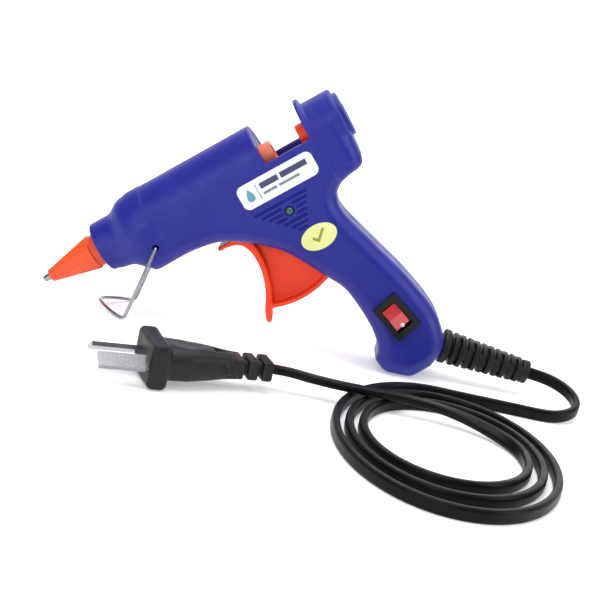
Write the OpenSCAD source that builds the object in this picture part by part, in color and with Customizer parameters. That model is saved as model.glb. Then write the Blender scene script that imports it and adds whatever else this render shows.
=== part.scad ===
// Mini hot-melt glue gun with a folding wire stand and a coiled mains lead.
// Every sub-part is drawn in the barrel frame: +X runs back along the barrel,
// +Z up across it, and stance() tips the finished part onto its stand.

/* [Housing] */
// Outside radius of the barrel and half the width of the body
barrel_r = 14.2; // [12.5:0.1:17.5]
// Length of the housing from its front face to its rear face
barrel_len = 108.6; // [104:0.2:118]
// Distance from the barrel axis down to the heel of the handle
handle_len = 104; // [86:1:126]
// Thickness of the moulded walls
wall = 2.2; // [1.6:0.1:2.8]
// Radius of the neck at the front face
neck_r = 9.7; // [9:0.1:11]
// Length of the open stick window
window_len = 19.6; // [16:0.2:22]

/* [Glue path] */
// Diameter of the glue stick
stick_d = 7.2; // [6.5:0.1:8.2]
// Diametral room around the stick in its guides
stick_room = 0.3; // [0.2:0.05:0.6]
// Wall of the silicone inlet sleeve and of the carriage ring
sleeve_wall = 1.4; // [1.2:0.1:2]
// Outside radius of the melt chamber
chamber_r = 6.5; // [6:0.1:7.4]
// Diameter of the glue hole in the nozzle
nozzle_hole = 1.6; // [1.2:0.1:2.2]

/* [Trigger] */
// Angle of the whole trigger stroke
trigger_stroke = 22; // [14:1:24]
// Width of the trigger blade
trigger_w = 12.4; // [10:0.2:14]
// Diameter of the trigger's steel pin
trigger_pin_d = 3; // [2.4:0.1:3.6]
// Radial room of every turning fit
turn_fit = 0.05; // [0.03:0.01:0.1]
// Side room of every sliding fit
slide_fit = 0.12; // [0.08:0.01:0.2]

/* [Stand] */
// Diameter of the stand's steel wire
stand_wire_d = 1.4; // [1.2:0.1:1.8]
// Angle that the barrel's nose points down when the gun stands
pitch = 41.2; // [38:0.2:44]

/* [Switch and lead] */
// Length of the switch bezel
bezel_l = 16; // [14:0.2:18]
// Width of the switch bezel
bezel_w = 11.2; // [10:0.2:13]
// Wide side of the flat lead
lead_w = 4.8; // [4:0.1:5.4]
// Length of the ribbed boot outside the housing
boot_len = 37; // [30:1:44]

/* [Hidden] */
$fn = 48;
eps = 0.01;

// Window, rear block and inner faces
window_back = barrel_len - 14.5;
window_front = window_back - window_len;
window_floor = -1;
inner_r = barrel_r - wall;
// The sides are flats just inside the barrel's radius
side_y = barrel_r - 0.2;
inner_y = side_y - wall;
rear_r = barrel_r - 3;
flange_r = 9;
flange_len = 1.8;

// Trigger pivot, its arm and the carriage stroke
pivot = [window_front - 13.9, -20.8];
arm_len = 12.5;
half_stroke = trigger_stroke / 2;
feed = 2 * arm_len * sin(half_stroke);
arm_pin_r = 1.5;
fan_r = 34.7;
web_t = 3.6;

// Glue path
bore_r = (stick_d + stick_room) / 2;
sleeve_r = bore_r + sleeve_wall;
chamber_u = [7, 41];
cover_len = 20.7;
cover_collar = 3.4;
tip_len = 27;

// Sled of the carriage
sled_top = -sleeve_r - 0.4;
sled_low = sled_top - 4.7;
sled_half = 4;
tongue_half = 5.2;
tongue = [sled_top - 3, sled_top - 1.6];
ring_u = window_back - 2.2;
ring_t = 3.4;

// Handle
heel = [83.2, -handle_len];
heel_flat = 11.4;
switch_at = [90.3, -handle_len + 26.2];
switch_turn = 77.7;
boot_at = [99.2, -handle_len + 3.7];
boot_turn = 47;
grip = handle_len / 104;

// Screws: [u, v] of each
screw_at = [[34.5, -14], [104, -13.4], [88, -0.53 * handle_len], [85, -handle_len + 8.4]];
screw_r = 1.3;
boss_r = 2.8;

// Stand
wire_r = stand_wire_d / 2;
stand_at = [21.7, -9];
leg_aim = 215.5;
leg_y = barrel_r + 0.3 + wire_r;
function lift(p) = p[0] * sin(pitch) + p[1] * cos(pitch);
floor_z = lift(heel);
leg_len = (lift(stand_at) - floor_z - wire_r) / -lift([cos(leg_aim), sin(leg_aim)]);
foot_at = stand_at + leg_len * [cos(leg_aim), sin(leg_aim)];

// Cord clamp inside the handle
clamp_y = 2.4;
clamp_from = 8;
function boot_axis(s) = boot_at + s * [cos(boot_turn), -sin(boot_turn)];
function clamp_at(side) = boot_axis(-clamp_from) + 4.6 * side * [sin(boot_turn), cos(boot_turn)];

// Where the row origin lies in the barrel frame: midway between tip and boot end
boot_end = boot_at + boot_len * [cos(boot_turn), -sin(boot_turn)];
function run(p) = p[0] * cos(pitch) - p[1] * sin(pitch);
mid_x = (run([-tip_len, 0]) + run(boot_end)) / 2;

module stance() {
    translate([-mid_x, 0, -floor_z]) rotate([0, -pitch, 0]) children();
}

// Catmull-Rom curve through an open list of points, n steps a span, its last point left off
function spline_at(a, b, c, d, t) =
    0.5 * (2 * b + (c - a) * t + (2 * a - 5 * b + 4 * c - d) * t * t
    + (3 * b - 3 * c + d - a) * t * t * t);
function smooth(pts, n) = [for (i = [0 : len(pts) - 2], k = [0 : n - 1])
    spline_at(pts[max(i - 1, 0)], pts[i], pts[i + 1], pts[min(i + 2, len(pts) - 1)], k / n)];
// Closed outline moved inwards by d along the mitre of each corner
function unit(v) = v / norm(v);
function inset(pts, d) = let (n = len(pts)) [for (i = [0 : n - 1])
    let (e = unit(pts[i] - pts[(i + n - 1) % n]), f = unit(pts[(i + 1) % n] - pts[i]),
        m = unit([-e[1] - f[1], e[0] + f[0]]))
    pts[i] + m * d / max(0.5, m * [-e[1], e[0]])];

// Side outline of the body, anticlockwise from the heel
heel_front = heel + heel_flat * [-cos(pitch), sin(pitch)];
handle_back = smooth([[92.3, -handle_len + 0.4], [99.8, -handle_len + 4.4],
    [103.2, -handle_len + 12], [103.9, -handle_len + 22], [101, -65.9 * grip],
    [96.4, -50 * grip], [91.7, -33.1], [92.5, -25.7], [97, -21.6], [104, -20.4],
    [barrel_len - 0.6, -16], [barrel_len, -10.2]], 3);
handle_front = smooth([[76.6, -handle_len + 16], [78.4, -handle_len + 21],
    [79, -74.7 * grip], [77.6, -60.7 * grip], [73.4, -51.8 * grip], [64.8, -36.5],
    [56.5, -27.9], [47, -21.3], [40.5, -18.9], [30.7, -17.4]], 3);
outline = concat([heel], handle_back, [[barrel_len, -10.2], [barrel_len, 0], [25, 0],
    [9.5, -11.5], [15.4, -17.4], [30.7, -17.4]],
    [for (i = [len(handle_front) - 1 : -1 : 0]) handle_front[i]],
    [[73.9, -handle_len + 13.6], heel_front]);

// Rounded side: each slab is [inset of its outline, half its width]
slabs = [[0, side_y - 3.6], [1, side_y - 1.6], [2.4, side_y]];

module side_plate(pts, y0, y1) {
    translate([0, y1, 0]) rotate([90, 0, 0]) linear_extrude(y1 - y0) polygon(pts);
}
module along(u) {
    translate([u, 0, 0]) rotate([0, 90, 0]) children();
}
module across(p, y0, y1, r) {
    translate([p[0], y1, p[1]]) rotate([90, 0, 0]) cylinder(r = r, h = y1 - y0);
}
module turned(profile) {
    rotate([0, 90, 0]) rotate_extrude($fn = 72) polygon(profile);
}

// Outer skin moved inwards by t
module body_volume(t) {
    for (s = slabs) side_plate(inset(outline, s[0] + t), -s[1] + t, s[1] - t);
    turned([[0, t], [neck_r - t, t], [neck_r + 0.8 - t, 10], [13.2 - t, 17.8],
        [barrel_r - t, 25.4], [barrel_r - t, window_back + 1.8 - t],
        [rear_r - t, window_back + 1.8 - t], [rear_r - t, barrel_len - t],
        [0, barrel_len - t]]);
}

// Ribs, bosses and seats that both halves share, drawn for the far half
module inner_seats() {
    // Discs that hold the chamber ring, the sleeve and the stick path
    along(4.4) cylinder(r = neck_r - 0.9, h = 2);
    for (u = [pivot[0] + 0.5, window_front - 3.2, window_back + 0.2])
        along(u) cylinder(r = inner_r + 0.6, h = 2);
    // Guide rails of the sled
    for (u = [window_front - 9, window_back + 3])
        translate([u, sled_half + slide_fit, sled_low - 0.4])
            cube([5, inner_y - sled_half - slide_fit + 0.5, 4.9]);
    // Bosses of the trigger pin
    across(pivot, trigger_w / 2 + 0.4, inner_y + 0.5, trigger_pin_d / 2 + 2.2);
    // Bosses of the stand
    across(stand_at, leg_y - 5.2, inner_y + 0.5, 2.8);
    for (p = screw_at) across(p, 0, inner_y + 0.5, boss_r);
}

module openings_cut() {
    // Stick window
    translate([window_front, -30, window_floor]) cube([window_len, 60, 40]);
    // Glue path through both ends
    along(-1) cylinder(r = neck_r - 2.4, h = 12);
    along(window_back - 1) cylinder(r = bore_r + 0.5, h = 30);
    // Room for sleeve, chamber and sled
    along(window_front - 20) cylinder(r = sleeve_r + slide_fit, h = 40);
    along(9) cylinder(r = chamber_r + 2, h = 34);
    translate([chamber_u[0] + 6, -6.2, -11.2]) cube([24, 12.4, 9]);
    translate([pivot[0] - 8, -sled_half - slide_fit, sled_low - 0.4])
        cube([window_back + 9 - pivot[0], 2 * (sled_half + slide_fit), sled_top - sled_low + 0.8]);
    translate([pivot[0] - 8, -tongue_half - slide_fit, tongue[0] - slide_fit])
        cube([window_back + 9 - pivot[0], 2 * (tongue_half + slide_fit),
            tongue[1] - tongue[0] + 2 * slide_fit]);
    // Slot of the trigger and room for its hub and arm
    side_plate([[39.8, -14.6], [58, -22], [68, -35], [77.5, -50], [76, -57], [60, -56],
        [39.8, -30]], -trigger_w / 2 - 0.5, trigger_w / 2 + 0.5);
    translate([pivot[0] - 7, -trigger_w / 2 - 0.4, pivot[1] - 8])
        cube([14, trigger_w + 0.8, 19]);
    // Hole of the boot's neck
    boot_place() {
        translate([0, 0, -4.6]) cylinder(r = 6.5, h = 2.3);
        translate([0, 0, -3.6]) cylinder(r = 5.05, h = 12);
        cylinder(r = 7.2, h = 6);
    }
    // Round holes of pin and stand
    across(pivot, -inner_y + 1.5, inner_y - 1.5, trigger_pin_d / 2 + turn_fit);
    across(stand_at, -30, 30, wire_r + turn_fit);
    grooves();
}

// Seven blind grooves that shorten downwards, on both sides, around the lamp's plain disc
groove_depth = 0.9;
groove_w = 0.8;
module grooves() {
    difference() {
        for (k = [0 : 6], y = [-side_y - 1, side_y - groove_depth])
            translate([window_front - 13.4 + 2.1 * k, y, -17.4 - 2.1 * k])
                cube([22.5 - 3.1 * k, groove_depth + 1, groove_w]);
        across(lamp_at, -40, 40, 3);
    }
}

module half(side) {
    intersection() {
        union() {
            difference() {
                body_volume(0);
                body_volume(wall);
            }
            along(barrel_len - wall + 0.2) cylinder(r = flange_r, h = wall - 0.2 + flange_len);
            mirror([0, side < 0 ? 1 : 0, 0]) inner_seats();
        }
        translate([-60, side < 0 ? -40 : 0, -150]) cube([220, 40, 200]);
    }
}

module near_shell() stance() color("mediumblue") difference() {
    half(-1);
    openings_cut();
    for (p = screw_at) across(p, -inner_r + 1, 1, screw_r - 0.25);
    // Cut-out of the switch
    switch_place() translate([-6.6, -3, -4.6]) cube([13.2, 30, 9.2]);
    // Lamp hole and its seat
    across(lamp_at, -barrel_r - 1, -5, 1.6);
}

module far_shell() stance() color("mediumblue") difference() {
    union() {
        half(1);
        for (s = [-1, 1]) across(clamp_at(s), -clamp_y + eps, inner_r, 2);
    }
    openings_cut();
    for (p = screw_at) {
        across(p, -1, barrel_r + 1, screw_r + 0.2);
        across(p, barrel_r - 4.4, barrel_r + 1, 2.5);
    }
    for (s = [-1, 1]) across(clamp_at(s), -5, 7, 0.9);
}

// Self-tapping screws, driven from the far side
module screw(p, y0, y1, r, head_r, head_t) {
    across(p, y0, y1 + eps, r);
    across(p, y1, y1 + head_t, head_r);
}
module housing_screws() stance() color("silver")
    for (p = screw_at) screw(p, -inner_r + 3.5, barrel_r - 4.4, screw_r - 0.25, 2.3, 1.8);

module nozzle_tip() stance() color("goldenrod") turned([[nozzle_hole / 2, -tip_len],
    [1.2, -tip_len], [1.5, -tip_len + 2], [4.2, -cover_collar], [4.2, 5], [3.4, 5],
    [3.4, chamber_u[0] + 7], [nozzle_hole / 2, chamber_u[0] + 7]]);

module nozzle_cover() stance() color("darkorange") difference() {
    union() {
        along(-cover_collar - cover_len) rotate([0, 0, 22.5])
            cylinder(r1 = 2.65, r2 = 7.6, h = cover_len, $fn = 8);
        along(-cover_collar - 0.2) cylinder(r = 6.5, h = cover_collar + 4.2);
    }
    turned([[0, -40], [1.3, -40], [1.3, -tip_len + 1.9], [1.56, -tip_len + 1.95],
        [4.26, -cover_collar], [4.26, 9], [0, 9]]);
}

module insulator_ring() stance() color("linen") difference() {
    along(4.1) cylinder(r = neck_r - 2.4, h = 2.8);
    along(3) cylinder(r = 4.2 + turn_fit, h = 5);
}

module melt_chamber() stance() color("lightgray") difference() {
    union() {
        along(chamber_u[0]) cylinder(r = chamber_r, h = chamber_u[1] - chamber_u[0]);
        along(chamber_u[1] - 1) cylinder(r = bore_r + 1, h = 6);
        translate([14, -5, -10]) cube([22, 10, 8]);
    }
    turned([[0, 6], [3.4, 6], [3.4, chamber_u[0] + 7], [1, chamber_u[0] + 7],
        [bore_r, chamber_u[0] + 14], [bore_r, 50], [0, 50]]);
    translate([13, -3.6, -9]) cube([24, 7.2, 2]);
}

module ptc_heater() stance() color("dimgray") {
    translate([15, -3.4, -8.9]) cube([20, 6.8, 1.8]);
    for (y = [-2, 2]) translate([34.9, y - 0.6, -8.3]) cube([4, 1.2, 0.6]);
}

module heater_clip() stance() color("silver") difference() {
    translate([20, -5.8, -10.8]) cube([10, 11.6, 6.3]);
    translate([19, -5.05, -10.05]) cube([12, 10.1, 20]);
}

module inlet_sleeve() stance() color("orangered") difference() {
    along(chamber_u[1] + 0.6) cylinder(r = sleeve_r, h = window_front + 3.6 - chamber_u[1]);
    along(chamber_u[1]) cylinder(r = bore_r + 1.05, h = 5.2);
    along(chamber_u[1]) cylinder(r = bore_r, h = 60);
}

module sleeve_clamp() stance() color("silver") rotate([0, 90, 0])
    translate([0, 0, chamber_u[1] + 3]) rotate_extrude($fn = 72)
        translate([sleeve_r + 0.55, 0]) circle(r = 0.5, $fn = 24);

module feed_carriage() stance() color("darkorange") difference() {
    union() {
        along(ring_u - ring_t / 2) cylinder(r = sleeve_r, h = ring_t);
        translate([pivot[0] - 2.2, -sled_half, sled_low])
            cube([ring_u + ring_t / 2 - pivot[0] + 2.2, 2 * sled_half, sled_top - sled_low]);
        translate([ring_u - ring_t / 2, -sled_half + 1, sled_low])
            cube([ring_t, 2 * sled_half - 2, 7]);
        translate([pivot[0] - 2.2, -tongue_half, tongue[0]])
            cube([ring_u + ring_t / 2 - pivot[0] + 2.2, 2 * tongue_half, tongue[1] - tongue[0]]);
    }
    along(60) cylinder(r = bore_r, h = 60);
    translate([pivot[0] + feed / 2 - arm_pin_r - slide_fit, -10, sled_low - 1])
        cube([2 * (arm_pin_r + slide_fit), 20, pivot[1] + arm_len + arm_pin_r + 1.25 - sled_low]);
}

// Trigger outlines: u is measured from the pivot
blade = smooth([[-19.6, -0.9], [-15.6, -1.0], [-11.8, 0], [-8.6, -1.4], [-6.2, -6],
    [-5.8, -12], [-6.9, -19], [-9.4, -26.4], [-12.8, -32.6], [-14.8, -36.6], [-17.4, -37],
    [-16.2, -31.8], [-12.9, -27.2], [-10.4, -22.2], [-9.1, -17.7], [-8.6, -13.2], [-8.8, -9.2],
    [-10.1, -5.6], [-12.2, -3.7], [-15.9, -2.6], [-19.4, -2.5], [-19.6, -0.9]], 3);
fan_from = 249;
fan_to = 298;
function arc_pts(r, a, b, n) = [for (i = [0 : n]) r * [cos(a + (b - a) * i / n), sin(a + (b - a) * i / n)]];

module trigger() stance() color("orangered") difference() {
    translate([pivot[0], 0, pivot[1]]) {
        side_plate(blade, -trigger_w / 2, trigger_w / 2);
        side_plate(concat([[-9, -4], [-3, 0], [3, 0]], arc_pts(fan_r, fan_to, fan_from, 16),
            [[-9, -26], [-6.4, -14]]), -web_t / 2, web_t / 2);
        side_plate(concat(arc_pts(fan_r, fan_from, fan_to, 16),
            arc_pts(fan_r - 1.6, fan_to, fan_from, 16)), -trigger_w / 2, trigger_w / 2);
        across([0, 0], -web_t / 2 - 1.2, web_t / 2 + 1.2, trigger_pin_d / 2 + 2);
        rotate([0, half_stroke, 0]) {
            translate([-1.1, -2.5, 2]) cube([2.2, 5, arm_len - 2]);
            across([0, arm_len], -2.5, 2.5, arm_pin_r);
        }
    }
    across(pivot, -20, 20, trigger_pin_d / 2 + turn_fit);
}

module trigger_pin() stance() color("silver")
    across(pivot, -inner_y + 1.5, inner_y - 1.5, trigger_pin_d / 2);

// Torsion spring on the trigger's pin: close turns and two legs
module return_spring() stance() color("silver") translate([pivot[0], 0, pivot[1]]) {
    translate([0, 3.4, 0]) rotate([-90, 0, 0]) rotate_extrude($fn = 72)
        for (k = [0 : 3]) translate([2.4, 0.3 + 0.5 * k]) circle(r = 0.3, $fn = 36);
    translate([-2.2, 3.7, -0.6]) rotate([0, 180, 0]) cylinder(r = 0.25, h = 8.4, $fn = 36);
    translate([2.2, 5.2, 0.6]) cylinder(r = 0.25, h = 6.4, $fn = 36);
}

// Closed tube swept along points, one ring of n sides at each
function ring_axes(pts, i) = let (t = unit(pts[min(i + 1, len(pts) - 1)] - pts[max(i - 1, 0)]),
    s = abs(t[2]) > 0.95 ? [0, 1, 0] : [0, 0, 1], a = unit(cross(t, s))) [a, cross(a, t)];
module tube(pts, r, n) {
    polyhedron([for (i = [0 : len(pts) - 1], k = [0 : n - 1]) let (f = ring_axes(pts, i))
            pts[i] + r * (f[0] * cos(360 * k / n) + f[1] * sin(360 * k / n))],
        concat([[for (k = [n - 1 : -1 : 0]) k]],
            [for (i = [0 : len(pts) - 2], k = [0 : n - 1]) [i * n + (k + 1) % n,
                (i + 1) * n + (k + 1) % n, (i + 1) * n + k, i * n + k]],
            [[for (k = [0 : n - 1]) (len(pts) - 1) * n + k]]));
}

module wire_stand() stance() color("gainsboro") {
    bend = foot_at;
    toe = bend + [-9.2, 8.1];
    shoulder = bend + [-3.2, 2.1];
    for (s = [-1, 1]) {
        across([stand_at[0], stand_at[1]], s < 0 ? -leg_y : leg_y - 5,
            s < 0 ? -leg_y + 5 : leg_y, wire_r);
    }
    half_path = [[stand_at[0], -leg_y, stand_at[1]],
        [stand_at[0] - 0.8, -leg_y, stand_at[1] - 0.6],
        [bend[0] + 1.6, -leg_y, bend[1] + 1.4], [bend[0], -leg_y, bend[1] + 0.1],
        [bend[0] - 1.4, -leg_y + 1, bend[1] + 1.4], [shoulder[0] - 3.4, -leg_y + 4.4, shoulder[1] + 3.4],
        [toe[0] + 0.6, -leg_y + 8.4, toe[1] - 0.6], [toe[0], -leg_y + 11.6, toe[1]]];
    mirrored = [for (i = [len(half_path) - 1 : -1 : 0]) [half_path[i][0], -half_path[i][1], half_path[i][2]]];
    tube(concat(half_path, mirrored), wire_r, 8);
}

// Switch frame: X along the bezel, -Y outwards, origin on the side of the handle
module switch_place() {
    translate([switch_at[0], -side_y, switch_at[1]]) rotate([0, switch_turn, 0]) children();
}
rocker_pivot = 1.6;
rocker_axle_r = 0.8;
rocker_tilt = 10;
module switch_case() stance() color("black") switch_place() difference() {
    union() {
        translate([-bezel_l / 2, -1.6, -bezel_w / 2]) cube([bezel_l, 1.6, bezel_w]);
        translate([-6.4, 0, -4.4]) cube([12.8, 10.5, 8.8]);
    }
    translate([-5.5, -3, -3.4]) cube([11, 8.5, 6.8]);
    translate([0, rocker_pivot, -4]) cylinder(r = rocker_axle_r + turn_fit, h = 8);
}

module rocker() stance() color("red") switch_place() translate([0, rocker_pivot, 0])
    rotate([0, 0, -rocker_tilt]) {
        translate([0, 0, -3.1]) linear_extrude(6.2)
            polygon([[-4.5, -4.3], [0, -3.5], [4.5, -4.3], [4.5, -0.4], [1.8, 1.9], [-1.8, 1.9],
                [-4.5, -0.4]]);
        translate([0, 0, -3.9]) cylinder(r = rocker_axle_r, h = 7.8);
    }

module switch_terminals() stance() color("gold") switch_place()
    for (x = [-3.4, 3.4]) translate([x - 0.4, 10.5, -2.2]) cube([0.8, 6.3, 4.4]);

// Crimped sockets pushed on the terminals, and the closed joint of the second core
module wire_connectors() stance() color("ivory") {
    switch_place() for (x = [-3.4, 3.4]) difference() {
        translate([x - 1.4, 11.6, -2.9]) cube([2.8, 8.6, 5.8]);
        translate([x - 0.4, 10, -2.2]) cube([0.8, 6.8, 4.4]);
    }
    across([93.6, switch_at[1] + 17], 5.2, 9.8, 1.6);
}

// Cores inside the housing, along its far side
module core(pts) { tube(pts, 0.7, 8); }
wire_y = inner_y - 2.6;
module inner_wires() stance() color("saddlebrown") {
    p = boot_axis(-4.6);
    q = boot_axis(-12);
    translate([p[0], 0, p[1]]) rotate([0, -90 + boot_turn, 0]) cylinder(r = clamp_y, h = 7.6);
    core([[q[0] + 0.6, 1.4, q[1] - 0.5], [q[0] - 0.6, 4, q[1] + 1.5], [q[0] - 1.2, 7.5, q[1] + 5],
        [switch_at[0] + 1.2, 7.5, switch_at[1] - 5.5], [switch_at[0] + 0.8, 6.4, switch_at[1] - 3.5]]);
    core([[q[0] + 1.4, 0.6, q[1] + 0.1], [q[0] + 2.6, 4, q[1] + 2.4], [q[0] + 4, 7.4, q[1] + 7],
        [95.2, 7.6, switch_at[1] + 8], [93.8, 7.6, switch_at[1] + 15], [93.6, 7.8, switch_at[1] + 17]]);
    core([[switch_at[0] - 0.7, 6, switch_at[1] + 3.4], [switch_at[0] - 0.7, 8.4, switch_at[1] + 6],
        [switch_at[0] - 5, 8.8, switch_at[1] + 14], [82.8, 9, -0.53 * handle_len + 4],
        [83.6, wire_y, -42], [84.6, wire_y, -30], [80, wire_y, -17.5], [70, wire_y, -14.4],
        [50, wire_y, -14.2], [42.5, wire_y - 2, -12.6], [40.4, 4, -8.8], [39.5, 2, -8]]);
    core([[93.6, 7.8, switch_at[1] + 17.2], [92.6, 7.8, -0.53 * handle_len],
        [88.4, 8.6, -42], [87.6, wire_y, -30], [83, wire_y, -15.4], [76, wire_y - 2.2, -13],
        [66, wire_y - 2.2, -13], [50, wire_y - 2.2, -13], [44, 2, -11.6], [40.8, -1.6, -8.8],
        [39.5, -2, -8]]);
}

lamp_at = [pivot[0] + 13.5, -21.2];
module led_lamp() stance() color("seagreen") {
    across(lamp_at, -side_y + 0.4, -9, 1.55);
    across(lamp_at, -inner_y, -inner_y + 1, 2);
    translate([lamp_at[0], -side_y + 0.4, lamp_at[1]]) sphere(r = 1.55, $fn = 72);
}

module led_board() stance() color("darkgreen") {
    translate([lamp_at[0] - 5, -9, lamp_at[1] - 3.5]) cube([10, 1, 7]);
    translate([lamp_at[0] + 3, -10.4, lamp_at[1] - 2.2]) cube([1.6, 1.5, 4.4]);
}

module cord_clamp() stance() color("white") difference() {
    translate([boot_axis(-clamp_from)[0], 0, boot_axis(-clamp_from)[1]])
        rotate([0, boot_turn, 0]) translate([-2, -clamp_y - 1.8, -7])
            cube([4, 1.8, 14]);
    for (s = [-1, 1]) across(clamp_at(s), -10, 0, 1.1);
}

module clamp_screws() stance() color("silver")
    for (s = [-1, 1]) {
        across(clamp_at(s), -clamp_y - 1.8 - eps, 6, 0.9);
        across(clamp_at(s), -clamp_y - 3.2, -clamp_y - 1.8, 1.7);
    }

module boot_place() {
    translate([boot_at[0], 0, boot_at[1]]) rotate([0, 90 + boot_turn, 0]) children();
}
ribs = 10;
module cord_boot() stance() color("black") boot_place() {
    translate([0, 0, -4.4]) cylinder(r = 6.4, h = 1.9);
    translate([0, 0, -4.2]) cylinder(r = 5, h = 6);
    cylinder(r = 7, h = 3.2);
    translate([0, 0, 1]) cylinder(r1 = 5.2, r2 = 3.6, h = boot_len - 2);
    pitch_of_ribs = (boot_len - 7) / ribs;
    for (k = [0 : ribs - 1]) translate([0, 0, 4.3 + k * pitch_of_ribs])
        cylinder(r = 6.6 - 0.17 * k, h = 0.62 * pitch_of_ribs);
    translate([0, 0, boot_len - 3.2]) cylinder(r = 4.8, h = 3.2);
}

module rounded_plate(l, w, r, t) {
    translate([0, t, 0]) rotate([90, 0, 0]) linear_extrude(t) {
        square([l - 2 * r, w], center = true);
        square([l, w - 2 * r], center = true);
        for (x = [-1, 1], y = [-1, 1]) translate([x * (l / 2 - r), y * (w / 2 - r)]) circle(r = r);
    }
}
label_t = 0.2;
module label() stance() color("white")
    translate([pivot[0] + 15.1, -side_y - label_t, -8.9]) rounded_plate(32.4, 9.8, 2.6, label_t);
module inspection_sticker() stance() color("palegoldenrod")
    translate([pivot[0] + 18.6, -side_y, -35.4]) rotate([90, 0, 0]) scale([1.5, 1, 1])
        cylinder(r = 4.9, h = label_t);

// Mains lead, in the row frame. The coil is an oval spiral that shrinks every turn.
lie_x = run(boot_end) - mid_x - 97.4;
cord_r = lead_w / 2;
coil_at = [57.2, -88];
coil_out = [39.8, 59.8];
coil_in = [26.4, 35.8];
lead_path = [[97.4, 0, 9.55], [100.5, 0, 9.3], [106.3, -1.2, 8.7], [111.2, -4.5, 7.8],
    [114.5, -9.4, 6.6], [115.7, -15.2, 5.4], [114.5, -21, 4.3], [111.2, -25.9, 3.4],
    [106.3, -29.2, 2.7], [100.5, -30.4, 2.4], [90, -30.4, 2.4], [79, -30.4, 2.4], [68, -30.4, 2.4],
    [58.4, -30.4, 2.4]];
tail_path = [[85.6, -88, 2.4], [84.8, -80, 2.4], [81.6, -72.4, 2.6], [75.6, -65.6, 3.2],
    [67.6, -61, 4.2], [59, -59, 5.5], [50, -58.8, 6.6], [40, -59.2, 7.2], [30, -59.8, 7.2],
    [20, -60.4, 7.2], [10, -61, 7.4], [2, -61.4, 7.9], [-6, -63, 8.2]];
module lying() { translate([lie_x, 0, 0]) children(); }
function rounded(pts, n) = concat(smooth(pts, n), [pts[len(pts) - 1]]);

module cord_lead() color("black") lying() tube(rounded(lead_path, 2), cord_r, 8);
module cord_tail() color("black") lying() tube(rounded(tail_path, 2), cord_r, 8);
function oval(r, n) = [for (i = [0 : n - 1]) [r[0] * cos(360 * i / n), r[1] * sin(360 * i / n)]];
module cord_coil() color("black") lying() translate([coil_at[0], coil_at[1], 0]) difference() {
    linear_extrude(lead_w) polygon(oval(coil_out, 60));
    translate([0, 0, -1]) linear_extrude(lead_w + 2) polygon(oval(coil_in, 48));
}

// Plug frame: X points from the strain relief to the pins
plug_turn = 201.3;
plug_z = 8.2;
module plug_place() lying() translate([-6, -63, plug_z]) rotate([0, 0, plug_turn]) children();
module plug_body() color("black") plug_place() {
    for (x = [0, 5.4, 10.8]) translate([x, -5.2, -3.6]) cube([4, 10.4, 7.2]);
    rotate([0, 90, 0]) cylinder(r = 3.2, h = 18);
    translate([16, 0, 0]) linear_extrude(12, center = true)
        polygon([[-1.4, -5], [6, -7.6], [16, -10.4], [24, -10.6], [24, 10.6], [16, 10.4], [6, 7.6],
            [-1.4, 5]]);
    translate([39.6, -12, -8.2]) cube([7, 24, 16.4]);
}

// Two flat blades, tilted as on a type I plug
module plug_pins() color("silver") plug_place()
    for (s = [-1, 1]) translate([46.6, 7.2 * s, 0]) rotate([-30 * s, 0, 0])
        translate([-4, -3.17, -0.8]) cube([21, 6.35, 1.6]);

near_shell();
far_shell();
housing_screws();
nozzle_tip();
nozzle_cover();
insulator_ring();
melt_chamber();
ptc_heater();
heater_clip();
inlet_sleeve();
sleeve_clamp();
feed_carriage();
trigger();
trigger_pin();
return_spring();
wire_stand();
switch_case();
rocker();
switch_terminals();
wire_connectors();
inner_wires();
led_lamp();
led_board();
cord_clamp();
clamp_screws();
cord_boot();
label();
inspection_sticker();
cord_lead();
cord_coil();
cord_tail();
plug_body();
plug_pins();
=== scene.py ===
"""Looks of a mini hot-melt glue gun with a wire stand and a coiled lead, built around its CAD frame."""
import math
from itertools import product

import bpy
import numpy as np
from mathutils import Matrix, Vector


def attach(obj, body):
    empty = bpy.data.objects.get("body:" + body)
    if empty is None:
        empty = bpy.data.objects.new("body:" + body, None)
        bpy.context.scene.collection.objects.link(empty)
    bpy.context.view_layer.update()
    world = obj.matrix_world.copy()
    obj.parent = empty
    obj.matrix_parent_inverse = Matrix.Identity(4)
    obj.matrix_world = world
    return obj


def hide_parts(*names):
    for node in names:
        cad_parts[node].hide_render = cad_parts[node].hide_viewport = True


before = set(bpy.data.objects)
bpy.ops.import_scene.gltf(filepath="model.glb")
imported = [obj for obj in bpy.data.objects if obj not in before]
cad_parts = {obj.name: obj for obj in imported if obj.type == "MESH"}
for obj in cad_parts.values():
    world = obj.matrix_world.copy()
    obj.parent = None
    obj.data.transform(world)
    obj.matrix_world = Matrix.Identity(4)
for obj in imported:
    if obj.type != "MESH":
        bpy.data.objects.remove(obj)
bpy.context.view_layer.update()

MM = 0.001

# Driving dimensions in millimetres and degrees, the same as in the part's source
BARREL_R, BARREL_LEN, HANDLE_LEN = 14.2, 108.6, 104.0
WALL, NECK_R, WINDOW_LEN = 2.2, 9.7, 19.6
STICK_BORE_R = (7.2 + 0.3) / 2
TRIGGER_STROKE, TRIGGER_W, TRIGGER_PIN_R, TURN_FIT = 22.0, 12.4, 1.5, 0.05
WIRE_R, PITCH = 0.7, 41.2
LEAD_W, LEAD_T, BOOT_LEN = 4.8, 3.1, 37.0

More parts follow.
